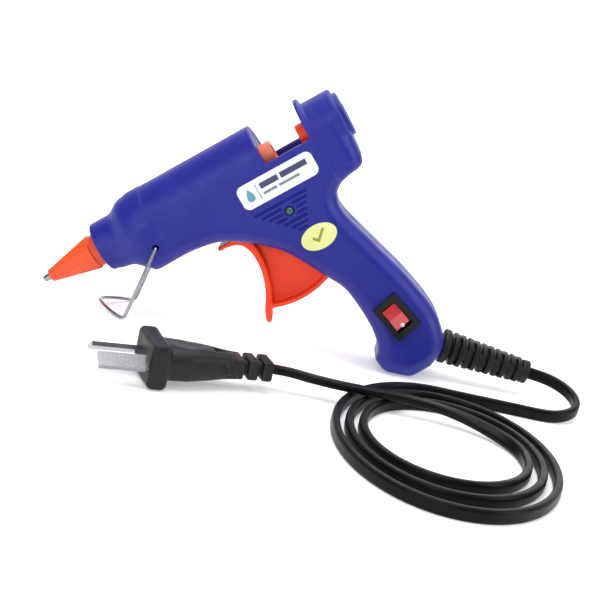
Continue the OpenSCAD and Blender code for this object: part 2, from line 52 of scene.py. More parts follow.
# Derived places in the barrel frame: u back along the barrel, v up across it, y across the gun
SIDE_Y = BARREL_R - 0.2
INNER_R = BARREL_R - WALL
INNER_Y = SIDE_Y - WALL
REAR_R = BARREL_R - 3
WINDOW_BACK = BARREL_LEN - 14.5
WINDOW_FRONT = WINDOW_BACK - WINDOW_LEN
WINDOW_FLOOR = -1.0
FLANGE_R, FLANGE_LEN = 9.0, 1.8
PIVOT = (WINDOW_FRONT - 13.9, -20.8)
HEEL = (83.2, -HANDLE_LEN)
STAND_AT = (21.7, -9.0)
LEG_AIM, LEG_Y = 215.5, BARREL_R + 0.3 + WIRE_R
TIP_LEN, COVER_LEN, COVER_COLLAR = 27.0, 20.7, 3.4
SWITCH_AT, SWITCH_TURN = (90.3, -HANDLE_LEN + 26.2), 77.7
BOOT_AT, BOOT_TURN = (99.2, -HANDLE_LEN + 3.7), 47.0
LAMP_AT = (PIVOT[0] + 13.5, -21.2)
LABEL_AT, LABEL_T = (PIVOT[0] + 15.1, -8.9), 0.2
STICKER_AT = (PIVOT[0] + 18.6, -35.4)
SCREW_AT = [(34.5, -14), (104, -13.4), (88, -0.53 * HANDLE_LEN), (85, -HANDLE_LEN + 8.4)]


def turn(deg):
    """Unit vector of an angle in degrees."""
    return np.array([math.cos(math.radians(deg)), math.sin(math.radians(deg))])


def boot_axis(s):
    return np.array(BOOT_AT) + s * turn(-BOOT_TURN)


COS_P, SIN_P = turn(PITCH)


def run(p):
    return p[0] * COS_P - p[1] * SIN_P


def lift(p):
    return p[0] * SIN_P + p[1] * COS_P


MID_X = (run((-TIP_LEN, 0)) + run(boot_axis(BOOT_LEN))) / 2
LIE_X = run(boot_axis(BOOT_LEN)) - MID_X - 97.4
FOOT_AT = np.array(STAND_AT) + turn(LEG_AIM) * (lift(STAND_AT) - lift(HEEL) - WIRE_R) / -lift(turn(LEG_AIM))


class Place:
    """Local millimetres to the row frame in metres: three axes and an origin."""

    def __init__(self, axes, origin):
        self.axes, self.origin = np.array(axes, float), np.array(origin, float)

    def points(self, p):
        return (np.asarray(p, float) @ self.axes + self.origin) * MM

    def turned(self, n):
        return np.asarray(n, float) @ self.axes

    def within(self, axes, origin):
        return Place(np.array(axes, float) @ self.axes, np.array(origin, float) @ self.axes + self.origin)


STANCE = Place([(COS_P, 0, SIN_P), (0, 1, 0), (-SIN_P, 0, COS_P)], (-MID_X, 0, -lift(HEEL)))
ROW = Place(np.eye(3), (0, 0, 0))
(bc, bs) = turn(BOOT_TURN)
BOOT = STANCE.within([(bc, 0, -bs), (0, 1, 0), (bs, 0, bc)], (BOOT_AT[0], 0, BOOT_AT[1]))
(sc, ss) = turn(SWITCH_TURN)
SWITCH = STANCE.within([(sc, 0, -ss), (0, 1, 0), (ss, 0, sc)], (SWITCH_AT[0], -SIDE_Y, SWITCH_AT[1]))
PLUG_TURN, PLUG_AT = 201.3, (LIE_X - 6, -63, 8.2)
(pc, ps) = turn(PLUG_TURN)
PLUG = Place([(pc, ps, 0), (-ps, pc, 0), (0, 0, 1)], PLUG_AT)


# ---------------------------------------------------------------- camera
def set_camera():
    """Camera at the photograph's viewing angle, turned about its own axis as the gun is shown."""
    elevation, azimuth, roll, distance, lens = 14.0, 1.7, 12.5, 0.52, 77.9
    look = Vector((0.0028, 0, 0.0193))
    e, a, r = (math.radians(x) for x in (elevation, azimuth, roll))
    ahead = Vector((math.sin(a) * math.cos(e), math.cos(a) * math.cos(e), -math.sin(e)))
    right = Vector((math.cos(a), -math.sin(a), 0))
    up = right.cross(ahead)
    cam_x = right * math.cos(r) + up * math.sin(r)
    cam_y = -right * math.sin(r) + up * math.cos(r)
    data = bpy.data.cameras.new("camera")
    data.lens, data.sensor_width, data.clip_start = lens, 36, 0.01
    camera = bpy.data.objects.new("camera", data)
    bpy.context.scene.collection.objects.link(camera)
    m = Matrix((cam_x, cam_y, -ahead)).transposed().to_4x4()
    m.translation = look - ahead * distance
    camera.matrix_world = m
    bpy.context.scene.camera = camera


set_camera()


# ---------------------------------------------------------------- materials
def srgb(r, g, b):
    return tuple(((c / 255 + 0.055) / 1.055) ** 2.4 if c > 10 else c / 3295 for c in (r, g, b)) + (1,)


class Mat:
    """A material with a few short cuts for building its nodes."""

    def __init__(self, name):
        self.mat = bpy.data.materials.new(name)
        self.mat.use_nodes = True
        self.tree = self.mat.node_tree
        self.shader = self.tree.nodes["Principled BSDF"]
        self.coords = self.tree.nodes.new("ShaderNodeTexCoord").outputs["Object"]

    def link(self, a, b):
        self.tree.links.new(a, b)

    def noise(self, scale, detail=3, rough=0.55, stretch=None):
        n = self.tree.nodes.new("ShaderNodeTexNoise")
        n.inputs["Scale"].default_value = scale
        n.inputs["Detail"].default_value = detail
        n.inputs["Roughness"].default_value = rough
        source = self.coords
        if stretch:
            m = self.tree.nodes.new("ShaderNodeMapping")
            m.inputs["Rotation"].default_value = stretch[0]
            m.inputs["Scale"].default_value = stretch[1]
            self.link(self.coords, m.inputs["Vector"])
            source = m.outputs["Vector"]
        self.link(source, n.inputs["Vector"])
        return n.outputs["Fac"]

    def spread(self, value, low, high, a=0.0, b=1.0):
        m = self.tree.nodes.new("ShaderNodeMapRange")
        for k, x in zip(("From Min", "From Max", "To Min", "To Max"), (low, high, a, b)):
            m.inputs[k].default_value = x
        self.link(value, m.inputs["Value"])
        return m.outputs["Result"]

    def mix(self, fac, one, two):
        m = self.tree.nodes.new("ShaderNodeMix")
        m.data_type = "RGBA"
        for socket, value in (("A", one), ("B", two)):
            target = [i for i in m.inputs if i.name == socket and i.type == "RGBA"][0]
            if isinstance(value, tuple):
                target.default_value = value
            else:
                self.link(value, target)
        self.link(fac, [i for i in m.inputs if i.name == "Factor" and i.type == "VALUE"][0])
        return [o for o in m.outputs if o.type == "RGBA"][0]

    def attribute(self, name):
        a = self.tree.nodes.new("ShaderNodeAttribute")
        a.attribute_name = name
        return a.outputs["Fac"]

    def bump(self, height, strength, distance, after=None):
        b = self.tree.nodes.new("ShaderNodeBump")
        b.inputs["Strength"].default_value = strength
        b.inputs["Distance"].default_value = distance
        self.link(height, b.inputs["Height"])
        if after is not None:
            self.link(after, b.inputs["Normal"])
        return b.outputs["Normal"]

    def finish(self, colour=None, rough=None, normal=None, **sockets):
        for value, name in ((colour, "Base Color"), (rough, "Roughness"), (normal, "Normal")):
            if value is None:
                continue
            if isinstance(value, (tuple, float)):
                self.shader.inputs[name].default_value = value
            else:
                self.link(value, self.shader.inputs[name])
        for name, value in sockets.items():
            self.shader.inputs[name.replace("_", " ")].default_value = value
        return self.mat


def moulded(name, base, light, dark, rough=(0.36, 0.5), grain=5200, depth=0.00002, worn=0.0, **sockets):
    """Moulded plastic: faint flow marks, fine spark-eroded grain, handled patches and paler edges."""
    m = Mat(name)
    flow = m.spread(m.noise(60, 4, 0.6), 0.3, 0.7)
    colour = m.mix(flow, dark, base)
    patch = m.spread(m.noise(420, 5, 0.65), 0.52, 0.8, 0, 0.14)
    colour = m.mix(patch, colour, light)
    if worn:
        colour = m.mix(m.spread(m.attribute("edge"), 0.15, 1.0, 0, worn), colour, light)
    shine = m.spread(m.noise(150, 4, 0.6), 0.3, 0.7, *rough)
    fine = m.bump(m.noise(grain, 2, 0.5), 0.35, depth)
    wave = m.bump(m.noise(95, 2, 0.4), 0.2, 0.00012, after=fine)
    return m.finish(colour, shine, wave, **sockets)


def metal(name, base, dark, rough=(0.16, 0.32), along=None):
    """Drawn or plated metal: streaks along its length, a few dull spots."""
    m = Mat(name)
    streak = m.noise(900, 3, 0.6, stretch=along or ((0, 0, 0), (1, 6, 6)))
    colour = m.mix(m.spread(streak, 0.35, 0.65), dark, base)
    spots = m.spread(m.noise(700, 4, 0.7), 0.55, 0.7, *rough)
    return m.finish(colour, spots, m.bump(streak, 0.03, 0.00001), Metallic=1.0)


BLUE = moulded("blue_plastic", srgb(28, 32, 138), srgb(60, 64, 172), srgb(23, 26, 129), worn=0.3,
               Specular_IOR_Level=0.34)
ORANGE = moulded("orange_silicone", srgb(230, 82, 26), srgb(246, 118, 62), srgb(216, 68, 18),
                 rough=(0.38, 0.5), worn=0.4, Specular_IOR_Level=0.4)
SLEEVE = moulded("sleeve_silicone", srgb(252, 138, 104), srgb(255, 178, 152), srgb(244, 116, 82),
                 rough=(0.34, 0.46), worn=0.3, Subsurface_Weight=0.2, Subsurface_Scale=0.002)
RED_ORANGE = moulded("trigger_plastic", srgb(254, 70, 22), srgb(255, 108, 62), srgb(250, 58, 14),
                     rough=(0.34, 0.46), worn=0.35, Specular_IOR_Level=0.4)
RUBBER = moulded("black_rubber", srgb(20, 20, 22), srgb(44, 44, 48), srgb(15, 15, 17), rough=(0.42, 0.56),
                 grain=4200, depth=0.00003, worn=0.5, Specular_IOR_Level=0.3)
JACKET = moulded("lead_jacket", srgb(12, 12, 14), srgb(26, 26, 29), srgb(9, 9, 11), rough=(0.34, 0.44),
                 grain=3600, depth=0.000015, Specular_IOR_Level=0.12)
SWITCH_BLACK = moulded("switch_black", srgb(16, 17, 22), srgb(38, 40, 46), srgb(12, 13, 17),
                       rough=(0.3, 0.42), grain=6500, Specular_IOR_Level=0.35)
ROCKER_RED = moulded("rocker_red", srgb(204, 24, 36), srgb(232, 70, 76), srgb(188, 18, 30),
                     rough=(0.16, 0.24), depth=0.000006, Coat_Weight=0.3, Coat_Roughness=0.12,
                     Subsurface_Weight=0.15, Subsurface_Scale=0.001)
LAMP_GREEN = moulded("lamp_green", srgb(40, 96, 66), srgb(110, 160, 120), srgb(24, 66, 46),
                     rough=(0.1, 0.18), depth=0.000004, Coat_Weight=0.6, Coat_Roughness=0.06)
PAPER = moulded("label_paper", srgb(236, 239, 244), srgb(250, 251, 253), srgb(228, 231, 238),
                rough=(0.3, 0.42), grain=3000, depth=0.000006, Coat_Weight=0.2, Coat_Roughness=0.2)
YELLOW_PAPER = moulded("sticker_paper", srgb(232, 236, 158), srgb(246, 248, 196), srgb(222, 226, 140),
                       rough=(0.34, 0.46), grain=3000, depth=0.000006)
PRINTED = (0.4, 0.5)
INK_NAVY = moulded("ink_navy", srgb(62, 66, 106), srgb(96, 100, 140), srgb(50, 54, 92), rough=PRINTED)
INK_GREY = moulded("ink_grey", srgb(132, 134, 150), srgb(170, 172, 184), srgb(116, 118, 136), rough=PRINTED)
INK_TEAL = moulded("ink_teal", srgb(104, 160, 178), srgb(150, 196, 208), srgb(86, 144, 164), rough=PRINTED)
INK_OLIVE = moulded("ink_olive", srgb(150, 156, 84), srgb(176, 182, 116), srgb(136, 142, 72), rough=PRINTED)
DOT_WHITE = moulded("dot_white", srgb(240, 226, 226), srgb(252, 246, 246), srgb(228, 210, 210),
                    rough=(0.3, 0.4))
STEEL = metal("bright_steel", srgb(176, 178, 182), srgb(116, 118, 124))
NICKEL = metal("nickel_plate", srgb(158, 158, 162), srgb(142, 142, 146), rough=(0.26, 0.32))
BRASS = metal("turned_brass", srgb(206, 196, 168), srgb(150, 138, 108), rough=(0.2, 0.36))
CAST = metal("cast_aluminium", srgb(176, 178, 182), srgb(128, 130, 136), rough=(0.36, 0.52))
CERAMIC = moulded("ceramic", srgb(226, 220, 206), srgb(240, 236, 226), srgb(206, 198, 182), rough=(0.6, 0.75))
HEATER = moulded("heater_ceramic", srgb(92, 92, 96), srgb(130, 130, 134), srgb(70, 70, 74), rough=(0.55, 0.7))
BOARD = moulded("circuit_board", srgb(28, 92, 52), srgb(60, 130, 84), srgb(20, 72, 40), rough=(0.3, 0.42))
IVORY = moulded("ivory_nylon", srgb(232, 226, 206), srgb(244, 240, 226), srgb(218, 210, 188),
                rough=(0.4, 0.5))
WIRE_BROWN = moulded("core_brown", srgb(120, 72, 44), srgb(150, 100, 70), srgb(98, 56, 32),
                     rough=(0.36, 0.46))
WHITE_CLAMP = moulded("clamp_white", srgb(232, 232, 230), srgb(246, 246, 244), srgb(216, 216, 214),
                      rough=(0.4, 0.5))


# ---------------------------------------------------------------- meshes
def add_mesh(name, points, faces, material, body, place=ROW, normals=None, edge=None, slot=None,
             stands_for=()):
    """A mesh piece from local millimetres, riding on a CAD body."""
    mesh = bpy.data.meshes.new(name)
    mesh.from_pydata(place.points(points).tolist(), [], [list(map(int, f)) for f in faces])
    mesh.polygons.foreach_set("use_smooth", [True] * len(mesh.polygons))
    if edge is not None:
        mesh.attributes.new("edge", "FLOAT", "POINT").data.foreach_set("value", edge.astype(np.float32))
    mesh.materials.append(material)
    mesh.update()
    if normals is not None:
        mesh.normals_split_custom_set_from_vertices(place.turned(normals).tolist())
    piece = bpy.data.objects.new(name, mesh)
    bpy.context.scene.collection.objects.link(piece)
    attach(piece, body)
    if stands_for:
        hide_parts(*stands_for)
    return piece


def spline(points, steps):
    """Catmull-Rom curve through an open list of points."""
    p = np.array(points, float)
    padded = np.vstack([p[0], p, p[-1]])
    out = []
    for i in range(len(p) - 1):
        a, b, c, d = padded[i:i + 4]
        for t in np.arange(steps) / steps:
            out.append(0.5 * (2 * b + (c - a) * t + (2 * a - 5 * b + 4 * c - d) * t ** 2
                              + (3 * b - 3 * c + d - a) * t ** 3))
    return np.array(out + [p[-1]])


def filleted(points, radii, steps=6):
    """An open line whose inner corners are rounded over the given lengths."""
    p = [np.array(x, float) for x in points]
    out = [p[0]]
    for a, b, c, r in zip(p, p[1:], p[2:], radii):
        back, ahead = a - b, c - b
        r = min(r, 0.48 * np.linalg.norm(back), 0.48 * np.linalg.norm(ahead))
        if r <= 0:
            out.append(b)
            continue
        s, e = b + back / np.linalg.norm(back) * r, b + ahead / np.linalg.norm(ahead) * r
        for t in np.linspace(0, 1, steps):
            out.append((1 - t) ** 2 * s + 2 * t * (1 - t) * b + t * t * e)
    return np.array(out + [p[-1]])


def sweep(path, section, lean):
    """Closed tube along a path.

    section is (n, 2) in (wide, thin) axes; lean is how far each ring lies over, in degrees from upright.
    """
    path = np.asarray(path, float)
    ahead = np.gradient(path, axis=0)
    ahead /= np.linalg.norm(ahead, axis=1)[:, None]
    side = np.cross(ahead, (0, 0, 1.0))
    side /= np.linalg.norm(side, axis=1)[:, None]
    up = np.cross(side, ahead)
    c, s = np.cos(np.radians(lean))[:, None], np.sin(np.radians(lean))[:, None]
    wide, thin = up * c + side * s, side * c - up * s
    n = len(section)
    rings = path[:, None] + section[None, :, 0:1] * wide[:, None] + section[None, :, 1:2] * thin[:, None]
    points = np.vstack([rings.reshape(-1, 3), path[:1], path[-1:]])
    faces = [(i * n + k, i * n + (k + 1) % n, (i + 1) * n + (k + 1) % n, (i + 1) * n + k)
             for i in range(len(path) - 1) for k in range(n)]
    last = (len(path) - 1) * n
    faces += [(k, len(points) - 2, (k + 1) % n) for k in range(n)]
    faces += [(last + (k + 1) % n, len(points) - 1, last + k) for k in range(n)]
    return points, faces


# ---------------------------------------------------------------- the lead, first of all
LEAD_ROUTE = [(97.4, 0, 9.55), (100.5, 0, 9.3), (106.3, -1.2, 8.7), (111.2, -4.5, 7.8), (114.5, -9.4, 6.6),
              (115.7, -15.2, 5.4), (114.5, -21, 4.3), (111.2, -25.9, 3.4), (106.3, -29.2, 2.7),
              (100.5, -30.4, 2.4), (90, -30.4, 2.4), (79, -30.4, 2.4), (68, -30.4, 2.4)]
TAIL_ROUTE = [(84.8, -80, 2.4), (81.6, -72.4, 2.6), (75.6, -65.6, 3.2), (67.6, -61, 4.2), (59, -59, 5.3),
              (50, -58.8, 6.1), (40, -59.2, 6.5), (30, -59.8, 6.5), (20, -60.4, 6.6), (10, -61, 7.1),
              (2, -61.4, 7.8), (-6, -63, 8.2)]
COIL_TURNS, TURN_POINTS, ROUTE_STEPS = 2.75, 40, 3
COIL_AT, COIL_HALF, COIL_SHRINK = (58.4, -90.4), (40.4, 60.2), (4.8, 9.6)
INTO_PLUG = 3  # the lead ends inside the plug's own relief
LIES_OVER = 60  # the lead rolls from its edge onto its flat over this length


def coil_point(t):
    """Point of the oval coil after t turns, anticlockwise from above and shrinking inwards."""
    c, s = turn(90 + 360 * t)
    (x, y), (wide, deep), (less_wide, less_deep) = COIL_AT, COIL_HALF, COIL_SHRINK
    return (x + (wide - less_wide * t) * c, y + t + (deep - less_deep * t) * s, LEAD_W / 2)


def lead_section(steps=28):
    """Flat lead: a rounded bar with a shallow groove down each wide side."""
    a = np.linspace(0, 2 * np.pi, steps, endpoint=False)
    c, s = np.cos(a), np.sin(a)
    power, dip, dip_w = 2 / 3.0, 0.1, 0.5
    wide = LEAD_W / 2 * np.sign(c) * np.abs(c) ** power
    thin = LEAD_T / 2 * np.sign(s) * np.abs(s) ** power
    return np.stack([wide, thin * (1 - dip * np.exp(-(wide / dip_w) ** 2))], 1)


def lay_lead():
    turns = [coil_point(k / TURN_POINTS) for k in range(int(COIL_TURNS * TURN_POINTS) + 1)]
    route = spline(LEAD_ROUTE + turns + TAIL_ROUTE, ROUTE_STEPS)
    ahead = (route[-1] - route[-2]) / np.linalg.norm(route[-1] - route[-2])
    route = np.vstack([route, route[-1] + INTO_PLUG * ahead])
    route[:, 0] += LIE_X
    along = np.concatenate([[0], np.cumsum(np.linalg.norm(np.diff(route, axis=0), axis=1))])
    tail_start = along[ROUTE_STEPS * (len(LEAD_ROUTE) + len(turns) - 1)]
    lean = 90 * np.clip((along - tail_start) / LIES_OVER, 0, 1)
    lean = lean * (2 - lean / 90)
    points, faces = sweep(route, lead_section(), lean)
    lead = add_mesh("mains_lead", points, faces, JACKET, "housing",
                    stands_for=("cord_lead", "cord_coil", "cord_tail"))
    return lead, route * MM, along[-1] * MM


LEAD, LEAD_LINE, LEAD_LENGTH = lay_lead()


# ---------------------------------------------------------------- solids worked out as distance fields
def smin(a, b, k):
    h = np.clip(0.5 + 0.5 * (b - a) / k, 0, 1)
    return b + (a - b) * h - k * h * (1 - h)


def smax(a, b, k):
    return -smin(-a, -b, k)


def smooth_step(x, low, high):
    t = np.clip((x - low) / (high - low), 0, 1)
    return t * t * (3 - 2 * t)


FAR_OUT = 9.0


class Field:
    """Signed distances on a grid of local millimetres, negative inside, and the surface they hold."""

    def __init__(self, low, high, pitch):
        self.low, self.pitch = np.array(low, float), pitch
        count = np.ceil((np.array(high, float) - self.low) / pitch).astype(int) + 1
        self.axes = [self.low[i] + pitch * np.arange(count[i]) for i in range(3)]
        self.f = np.full(count, FAR_OUT, np.float32)

    def part(self, low=None, high=None):
        low = self.low if low is None else low
        high = [a[-1] for a in self.axes] if high is None else high
        cut = tuple(slice(int(np.searchsorted(a, lo)), int(np.searchsorted(a, hi, "right")))
                    for a, lo, hi in zip(self.axes, low, high))
        shape = ((-1, 1, 1), (1, -1, 1), (1, 1, -1))
        return cut, [a[c].reshape(s).astype(np.float32) for a, c, s in zip(self.axes, cut, shape)]

    def add(self, shape, k=0.5, low=None, high=None, keep=None):
        cut, xyz = self.part(low, high)
        d = shape(*xyz)
        if keep is not None:
            d = np.maximum(d, keep[cut])
        self.f[cut] = smin(self.f[cut], d, k)

    def cut(self, shape, k=0.5, low=None, high=None):
        cut, xyz = self.part(low, high)
        self.f[cut] = smax(self.f[cut], -shape(*xyz), k)

    def sample(self, p):
        """Trilinear value at points given in grid units."""
        i = np.clip(np.floor(p).astype(int), 0, np.array(self.f.shape) - 2)
        t = p - i
        total = 0
        for d in product((0, 1), repeat=3):
            w = np.prod(np.where(d, t, 1 - t), axis=1)
            total = total + w * self.f[i[:, 0] + d[0], i[:, 1] + d[1], i[:, 2] + d[2]]
        return total

    def slope(self, p, step=0.7):
        rise = [self.sample(p + step * e) - self.sample(p - step * e) for e in np.eye(3)]
        return np.stack(rise, 1) / (2 * step)

    def surface(self):
        """Quads of the zero surface, with vertex normals and how sharp each point is."""
        f, inside = self.f, self.f < 0
        n = inside.shape
        corners = list(product((0, 1), repeat=3))
        total = sum(inside[a:n[0] - 1 + a, b:n[1] - 1 + b, c:n[2] - 1 + c].astype(np.uint8)
                    for a, b, c in corners)
        cells = np.argwhere((total > 0) & (total < 8))
        number = np.full(total.shape, -1)
        number[tuple(cells.T)] = np.arange(len(cells))
        place, hits = np.zeros((len(cells), 3)), np.zeros(len(cells))
        for a in corners:
            for axis in range(3):
                if a[axis]:
                    continue
                b = np.array(a) + np.eye(3, dtype=int)[axis]
                fa, fb = f[tuple((cells + a).T)], f[tuple((cells + b).T)]
                m = (fa < 0) != (fb < 0)
                t = fa[m] / (fa[m] - fb[m])
                place[m] += cells[m] + a + t[:, None] * (b - np.array(a))
                hits[m] += 1
        place /= hits[:, None]
        quads = []
        for axis in range(3):
            one, two = (axis + 1) % 3, (axis + 2) % 3
            lower = np.take(inside, range(n[axis] - 1), axis)
            upper = np.take(inside, range(1, n[axis]), axis)
            e = np.argwhere(lower != upper)
            e = e[(e[:, one] > 0) & (e[:, two] > 0) & (e[:, one] < n[one] - 1) & (e[:, two] < n[two] - 1)]
            s1, s2 = np.eye(3, dtype=int)[one], np.eye(3, dtype=int)[two]
            ring = [number[tuple((e - d).T)] for d in (s1 + s2, s2, 0 * s1, s1)]
            q = np.stack(ring, 1)
            out = lower[tuple(e.T)]
            quads.append(np.where(out[:, None], q, q[:, ::-1]))
        quads = np.vstack(quads)
        for _ in range(2):  # even the quads out along the surface, then put them back on it
            gathered, weight = np.zeros_like(place), np.zeros(len(place))
            for k in range(4):
                for other in (1, 3):
                    np.add.at(gathered, quads[:, k], place[quads[:, (k + other) % 4]])
                    np.add.at(weight, quads[:, k], 1)
            place = 0.5 * place + 0.5 * gathered / weight[:, None]
            for _ in range(2):
                g = self.slope(place)
                place = place - (self.sample(place) / np.maximum((g * g).sum(1), 0.05))[:, None] * g
        g = self.slope(place)
        normals = g / np.maximum(np.linalg.norm(g, axis=1), 1e-6)[:, None]
        reach, gain = 1.6, 0.9
        bend = sum(self.sample(place + reach * e) + self.sample(place - reach * e) for e in np.eye(3))
        edge = np.clip(bend / (reach * reach) / self.pitch * gain, 0, 1)
        return place * self.pitch + self.low, quads, normals, edge


def field_piece(name, field, material, body, place, **more):
    points, faces, normals, edge = field.surface()
    return add_mesh(name, points, faces, material, body, place, normals=normals, edge=edge, **more)


def outline_distance(points, x, z):
    """Signed distance in the plane of a closed outline, negative inside, for x and z that broadcast."""
    shape = np.broadcast(x, z).shape
    px = np.broadcast_to(x, shape).ravel().astype(float)
    pz = np.broadcast_to(z, shape).ravel().astype(float)
    best, inside = np.full(len(px), 1e9), np.zeros(len(px), bool)
    for (ax, az), (bx, bz) in zip(points, np.roll(points, -1, axis=0)):
        ex, ez = bx - ax, bz - az
        wx, wz = px - ax, pz - az
        t = np.clip((wx * ex + wz * ez) / (ex * ex + ez * ez + 1e-12), 0, 1)
        best = np.minimum(best, (wx - t * ex) ** 2 + (wz - t * ez) ** 2)
        if az != bz:
            inside ^= ((az > pz) != (bz > pz)) & (px < ex * (pz - az) / ez + ax)
    return (np.sqrt(best) * np.where(inside, -1, 1)).reshape(shape).astype(np.float32)


def tube_u(r, u0, u1, k=0.01):
    """Round bar along the barrel."""
    middle, half = (u0 + u1) / 2, (u1 - u0) / 2
    return lambda u, y, v: smax(np.sqrt(y * y + v * v) - r, np.abs(u - middle) - half, k)


def tube_y(p, r, y0=-99, y1=99, k=0.01):
    """Round bar across the gun."""
    middle, half = (y0 + y1) / 2, (y1 - y0) / 2
    return lambda u, y, v: smax(np.hypot(u - p[0], v - p[1]) - r, np.abs(y - middle) - half, k)


def block(low, high, r=0.0):
    """Box with rounded edges."""
    c, s = (np.array(low) + high) / 2, (np.array(high, float) - low) / 2 - r

    def shape(*xyz):
        q = [np.abs(x - a) - b for x, a, b in zip(xyz, c, s)]
        out = np.sqrt(sum(np.maximum(x, 0) ** 2 for x in q))
        return out + np.minimum(np.maximum(np.maximum(q[0], q[1]), q[2]), 0) - r
    return shape


def plate(points, half, k=0.6):
    """Outline in the side view, as thick as twice half."""
    return lambda u, y, v: smax(outline_distance(points, u, v), np.abs(y) - half, k)


# ---------------------------------------------------------------- housing
# Sizes that only the looks of the housing use
SHELL_PITCH = 0.5
REAR_INSET, LIP_LEN = 0.7, 1.9
NECK_HALF, BEVEL_IN, BEVEL_DOWN = 9.6, 4.6, 3.6
BOSS_R, PIN_BOSS_WALL, SEAT_LEN = 2.8, 2.2, 2
SCREW_HOLE_R, SCREW_WELL_R, SCREW_WELL_DEEP = 1.5, 2.5, 4.4
LAMP_HOLE_R, LAMP_DISC_R, STAND_HOLE_R, STAND_LIP_R = 1.65, 3.0, 1.15, 1.9
SWITCH_HOLE = (6.6, 4.6)
GROOVES, GROOVE_DEPTH, GROOVE_W, GROOVE_STEP = 7, 0.9, 0.8, 2.1
GROOVE_LEN, GROOVE_LESS = 22.5, 3.1
BODY_TOP = 5.2  # how far the flat sides reach up inside the round barrel
MODELLED_HANDLE = 104


def body_outline():
    """Side outline of handle and lower body, anticlockwise from the heel."""
    g = HANDLE_LEN / MODELLED_HANDLE
    heel_front = np.array(HEEL) + 11.4 * np.array([-COS_P, SIN_P])
    back = spline([(92.3, -HANDLE_LEN + 0.4), (99.8, -HANDLE_LEN + 4.4), (103.2, -HANDLE_LEN + 12),
                   (103.9, -HANDLE_LEN + 22), (101, -65.9 * g), (96.4, -50 * g), (91.7, -33.1),
                   (92.3, -26.2), (95.4, -22.7), (100, -21.2), (105, -20.4), (107.3, -18.8),
                   (BARREL_LEN - 0.4, -15.4), (BARREL_LEN, -10.2)], 6)
    front = spline([(15.9, -17.2), (18.6, -17.7), (30.7, -17.6), (40.5, -18.9), (47, -21.3), (56.5, -27.9),
                    (64.8, -36.5), (73.4, -51.8 * g), (77.6, -60.7 * g), (79, -74.7 * g),
                    (78.4, -HANDLE_LEN + 21), (76.6, -HANDLE_LEN + 16), (74.1, -HANDLE_LEN + 13.4)], 6)
    neck = spline([(5, -9.4), (9.4, -11.3), (12.8, -14.4), (15.9, -17.2)], 4)[:-1]
    corner = filleted([front[-1], heel_front, HEEL, back[0]], (2.5, 2.5))[1:-1]
    return np.vstack([back, [(BARREL_LEN, BODY_TOP), (5, BODY_TOP)], neck, front, corner])


def barrel_profile(u):
    """Radius along the barrel: neck, flare, a small step and the long round top."""
    r = NECK_R + 0.5 + 0 * u
    r = r + (13.5 - NECK_R - 0.5) * smooth_step(u, 8.2, 15.6) + 0.75 * smooth_step(u, 14.5, 20)
    return r - 0.25 * smooth_step(u, 24.6, 25.3)


def round_tops(u, y, v):
    """Barrel and rear block, widened so that they run into the flat sides without a step."""
    wide = 1 + (BARREL_R / SIDE_Y - 1) * smooth_step(u, 14, 20)
    ahead = smax(np.hypot(y * wide, v) - barrel_profile(u), u - WINDOW_BACK - LIP_LEN, 0.3)
    rear_r = REAR_R + 0.2
    behind = smax(np.hypot(y * rear_r / (SIDE_Y - REAR_INSET), v) - rear_r, WINDOW_BACK - 4 - u, 0.1)
    return smin(ahead, behind, 0.3)


def rounded_side(u, y, v, flat):
    """Body between its two flat sides, with a soft bevel along the outline."""
    half = NECK_HALF + (SIDE_Y - NECK_HALF) * smooth_step(u, 4, 19)
    half = half - REAR_INSET * smooth_step(u, 95.7, 96.3) * (v > -30)
    side = np.abs(y) - half
    bevel = (BEVEL_DOWN * (flat + BEVEL_IN) + BEVEL_IN * side) / math.hypot(BEVEL_IN, BEVEL_DOWN)
    return smax(smax(flat, bevel, 2.6), side, 1.0)


def groove(k, side):
    """Corners of one of the blind grooves that shorten downwards."""
    u0, v0 = WINDOW_FRONT - 13.4 + GROOVE_STEP * k, -17.4 - GROOVE_STEP * k
    y0, y1 = sorted((side * (SIDE_Y - GROOVE_DEPTH), side * 20))
    return (u0, y0, v0), (u0 + GROOVE_LEN - GROOVE_LESS * k, y1, v0 + GROOVE_W)


